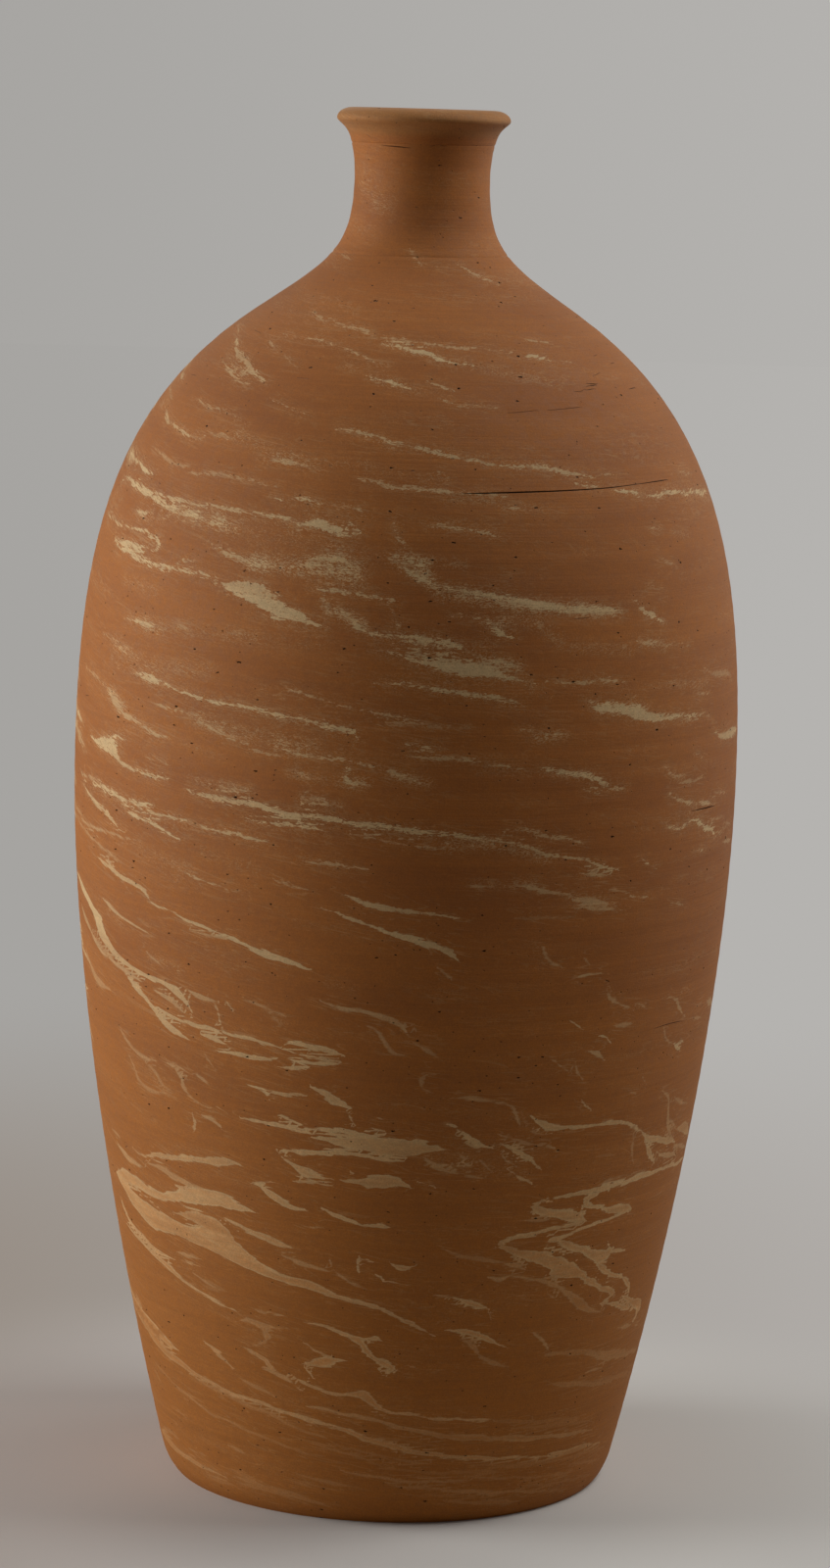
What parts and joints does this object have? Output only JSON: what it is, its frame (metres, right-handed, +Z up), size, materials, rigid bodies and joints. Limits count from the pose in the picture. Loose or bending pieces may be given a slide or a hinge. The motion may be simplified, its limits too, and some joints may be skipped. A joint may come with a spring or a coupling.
{
  "type": "terracotta water jar",
  "caption": "Tall hand-thrown water jar of unglazed marbled terracotta: flat foot, tapering body, round shoulder, narrow waisted neck and a rolled lip.",
  "frame": {"origin": "on the ground, at the middle of the foot", "axes": "+Z up along the jar's axis of turning; the jar is round, so X and Y are level and free"},
  "size_m": [0.2894, 0.2894, 0.6],
  "materials": {
    "marbled_terracotta": "matte, unglazed, brown clay marbled with buff",
    "bare_terracotta": "matte, unglazed, finger-smoothed"
  },
  "bodies": {
    "root": {"floor_disc": "marbled_terracotta", "floor_coil": "bare_terracotta", "lower_body": "marbled_terracotta", "belly_coil": "bare_terracotta", "upper_body": "marbled_terracotta", "neck_coil": "bare_terracotta", "neck": "marbled_terracotta", "rolled_lip": "marbled_terracotta"}
  },
  "joints": []
}
